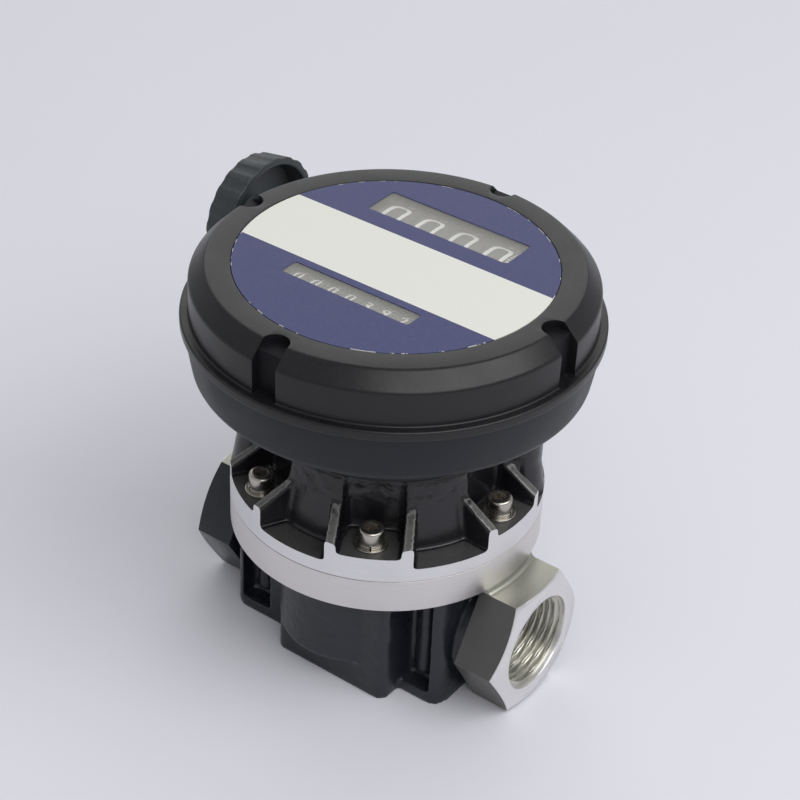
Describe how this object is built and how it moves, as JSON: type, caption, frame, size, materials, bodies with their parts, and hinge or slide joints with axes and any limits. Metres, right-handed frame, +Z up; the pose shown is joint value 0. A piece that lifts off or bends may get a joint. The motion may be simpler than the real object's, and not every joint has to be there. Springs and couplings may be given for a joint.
{
  "type": "oval gear flow meter",
  "caption": "Positive-displacement liquid flow meter: cast body with hexagon pipe ports, ribbed bolted cover, round register with number wheels behind a screw-on bezel, side reset knob.",
  "frame": {"origin": "centre of the base face, under the register's axis", "axes": "+Z up along the register's axis, +X along the pipe line, -Y towards the small counter"},
  "size_m": [0.154, 0.137, 0.147],
  "materials": {
    "painted casting": "gloss paint, machined faces left bare",
    "black plastic": "satin",
    "clear lens": "clear gloss",
    "printed label": "printed film",
    "seal rubber": "matte",
    "stainless steel": "plain",
    "bush brass": "turned",
    "magnet": "sintered",
    "rotor plastic": "moulded",
    "gear plastic": "moulded",
    "number wheels": "satin"
  },
  "bodies": {
    "meter": {"meter_body": "painted casting", "body_seal": "seal rubber", "rotor_pins": "stainless steel", "rotor_cover": "painted casting", "cover_screws": "stainless steel", "cover_washers": "stainless steel", "register_housing": "black plastic", "housing_gasket": "seal rubber", "housing_screws": "stainless steel", "bezel": "black plastic", "lens": "clear lens", "lens_gasket": "seal rubber", "dial_label": "printed label", "knob_seal": "seal rubber", "knob_bush": "bush brass", "lower_spindle_bush": "bush brass", "upper_spindle_bush": "bush brass", "idler_studs": "stainless steel", "counter_shaft": "stainless steel", "reset_carry_shaft": "stainless steel", "total_carry_shaft": "stainless steel", "frame_base_plate": "stainless steel", "left_side_plate": "stainless steel", "right_side_plate": "stainless steel", "frame_screws": "stainless steel"},
    "drive_rotor": {"drive_oval_gear": "rotor plastic", "drive_gear_bush": "bush brass", "drive_magnet": "magnet"},
    "idler_rotor": {"idler_oval_gear": "rotor plastic", "idler_gear_bush": "bush brass"},
    "spindle": {"register_spindle": "stainless steel", "follower_magnet": "magnet", "worm": "bush brass"},
    "cross_drive": {"cross_shaft": "stainless steel", "worm_wheel": "gear plastic", "cross_gear": "gear plastic"},
    "reset_idler": {"reset_idler_gear": "gear plastic"},
    "total_idler": {"total_idler_gear": "gear plastic"},
    "reset_digit_1": {"reset_wheel_1": "number wheels", "reset_input_gear": "gear plastic"},
    "reset_digit_2": {"reset_wheel_2": "number wheels"},
    "reset_digit_3": {"reset_wheel_3": "number wheels"},
    "reset_digit_4": {"reset_wheel_4": "number wheels"},
    "total_digit_1": {"total_wheel_1": "number wheels", "total_input_gear": "gear plastic"},
    "total_digit_2": {"total_wheel_2": "number wheels"},
    "total_digit_3": {"total_wheel_3": "number wheels"},
    "total_digit_4": {"total_wheel_4": "number wheels"},
    "total_digit_5": {"total_wheel_5": "number wheels"},
    "total_digit_6": {"total_wheel_6": "number wheels"},
    "total_digit_7": {"total_wheel_7": "number wheels"},
    "reset_carry": {"reset_carry_pinions": "gear plastic"},
    "total_carry": {"total_carry_pinions": "gear plastic"},
    "knob": {"reset_knob": "black plastic", "reset_shaft": "stainless steel", "knob_screw": "stainless steel"}
  },
  "joints": [
    {"name": "drive_rotor_turn", "type": "hinge", "parent": "meter", "child": "drive_rotor", "pos_m": [0, -0.0162, 0.03875], "axis": [0, 0, 1], "continuous": true},
    {"name": "idler_rotor_turn", "type": "hinge", "parent": "meter", "child": "idler_rotor", "pos_m": [0, 0.0162, 0.03875], "axis": [0, 0, 1], "continuous": true},
    {"name": "spindle_turn", "type": "hinge", "parent": "meter", "child": "spindle", "pos_m": [0, -0.0162, 0.09], "axis": [0, 0, 1], "continuous": true},
    {"name": "cross_drive_turn", "type": "hinge", "parent": "meter", "child": "cross_drive", "pos_m": [0, -0.0035, 0.113], "axis": [1, 0, 0], "continuous": true},
    {"name": "reset_idler_turn", "type": "hinge", "parent": "meter", "child": "reset_idler", "pos_m": [0.03, 0.01236, 0.11508], "axis": [1, 0, 0], "continuous": true},
    {"name": "total_idler_turn", "type": "hinge", "parent": "meter", "child": "total_idler", "pos_m": [0.03, -0.01206, 0.12651], "axis": [1, 0, 0], "continuous": true},
    {"name": "reset_digit_1_turn", "type": "hinge", "parent": "meter", "child": "reset_digit_1", "pos_m": [0.02025, 0.0283, 0.121], "axis": [1, 0, 0], "continuous": true},
    {"name": "reset_digit_2_turn", "type": "hinge", "parent": "meter", "child": "reset_digit_2", "pos_m": [0.00675, 0.0283, 0.121], "axis": [1, 0, 0], "continuous": true},
    {"name": "reset_digit_3_turn", "type": "hinge", "parent": "meter", "child": "reset_digit_3", "pos_m": [-0.00675, 0.0283, 0.121], "axis": [1, 0, 0], "continuous": true},
    {"name": "reset_digit_4_turn", "type": "hinge", "parent": "meter", "child": "reset_digit_4", "pos_m": [-0.02025, 0.0283, 0.121], "axis": [1, 0, 0], "continuous": true},
    {"name": "total_digit_1_turn", "type": "hinge", "parent": "meter", "child": "total_digit_1", "pos_m": [0.0204, -0.0237, 0.1343], "axis": [1, 0, 0], "continuous": true},
    {"name": "total_digit_2_turn", "type": "hinge", "parent": "meter", "child": "total_digit_2", "pos_m": [0.0136, -0.0237, 0.1343], "axis": [1, 0, 0], "continuous": true},
    {"name": "total_digit_3_turn", "type": "hinge", "parent": "meter", "child": "total_digit_3", "pos_m": [0.0068, -0.0237, 0.1343], "axis": [1, 0, 0], "continuous": true},
    {"name": "total_digit_4_turn", "type": "hinge", "parent": "meter", "child": "total_digit_4", "pos_m": [0, -0.0237, 0.1343], "axis": [1, 0, 0], "continuous": true},
    {"name": "total_digit_5_turn", "type": "hinge", "parent": "meter", "child": "total_digit_5", "pos_m": [-0.0068, -0.0237, 0.1343], "axis": [1, 0, 0], "continuous": true},
    {"name": "total_digit_6_turn", "type": "hinge", "parent": "meter", "child": "total_digit_6", "pos_m": [-0.0136, -0.0237, 0.1343], "axis": [1, 0, 0], "continuous": true},
    {"name": "total_digit_7_turn", "type": "hinge", "parent": "meter", "child": "total_digit_7", "pos_m": [-0.0204, -0.0237, 0.1343], "axis": [1, 0, 0], "continuous": true},
    {"name": "reset_carry_turn", "type": "hinge", "parent": "meter", "child": "reset_carry", "pos_m": [0, 0.00483, 0.13455], "axis": [1, 0, 0], "continuous": true},
    {"name": "total_carry_turn", "type": "hinge", "parent": "meter", "child": "total_carry", "pos_m": [0, -0.02825, 0.1218], "axis": [1, 0, 0], "continuous": true},
    {"name": "knob_turn", "type": "hinge", "parent": "meter", "child": "knob", "pos_m": [-0.07, 0.0283, 0.121], "axis": [1, 0, 0], "continuous": true}
  ],
  "couplings": [
    {"joint": "idler_rotor_turn", "follows": "drive_rotor_turn", "ratio": -1},
    {"joint": "spindle_turn", "follows": "drive_rotor_turn", "ratio": 1},
    {"joint": "cross_drive_turn", "follows": "drive_rotor_turn", "ratio": 0.05},
    {"joint": "reset_idler_turn", "follows": "drive_rotor_turn", "ratio": -0.083333},
    {"joint": "total_idler_turn", "follows": "drive_rotor_turn", "ratio": -0.083333},
    {"joint": "reset_digit_1_turn", "follows": "drive_rotor_turn", "ratio": 0.045455},
    {"joint": "reset_digit_2_turn", "follows": "drive_rotor_turn", "ratio": 0.0045455},
    {"joint": "reset_digit_3_turn", "follows": "drive_rotor_turn", "ratio": 0.00045455},
    {"joint": "reset_digit_4_turn", "follows": "drive_rotor_turn", "ratio": 0.000045455},
    {"joint": "total_digit_1_turn", "follows": "drive_rotor_turn", "ratio": 0.0625},
    {"joint": "total_digit_2_turn", "follows": "drive_rotor_turn", "ratio": 0.00625},
    {"joint": "total_digit_3_turn", "follows": "drive_rotor_turn", "ratio": 0.000625},
    {"joint": "total_digit_4_turn", "follows": "drive_rotor_turn", "ratio": 0.0000625},
    {"joint": "total_digit_5_turn", "follows": "drive_rotor_turn", "ratio": 0.00000625},
    {"joint": "total_digit_6_turn", "follows": "drive_rotor_turn", "ratio": 0.000000625},
    {"joint": "total_digit_7_turn", "follows": "drive_rotor_turn", "ratio": 0.0000000625},
    {"joint": "reset_carry_turn", "follows": "drive_rotor_turn", "ratio": -0.011364},
    {"joint": "total_carry_turn", "follows": "drive_rotor_turn", "ratio": -0.015625}
  ]
}
